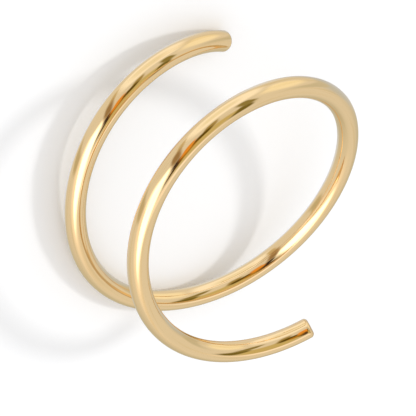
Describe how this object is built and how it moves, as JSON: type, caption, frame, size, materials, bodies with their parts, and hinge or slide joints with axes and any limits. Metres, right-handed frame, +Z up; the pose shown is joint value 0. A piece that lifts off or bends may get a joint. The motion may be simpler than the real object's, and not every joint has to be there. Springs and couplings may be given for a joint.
{
  "type": "spiral double hoop nose ring",
  "caption": "Nose ring bent from a single round gold wire as an open spiral coil, worn through one piercing to look like two hoops.",
  "frame": {"origin": "on the surface that the ring lies on, under the middle of its outline", "axes": "+Z up from that surface, within 13 degrees of the coil's axis, from the wire's lower end to its upper end; +Y along the longer side of the outline"},
  "size_m": [0.0094, 0.0098, 0.0042],
  "materials": {
    "polished_gold": "polished pale yellow gold"
  },
  "bodies": {
    "root": {"spiral_hoop": "polished_gold"}
  },
  "joints": []
}
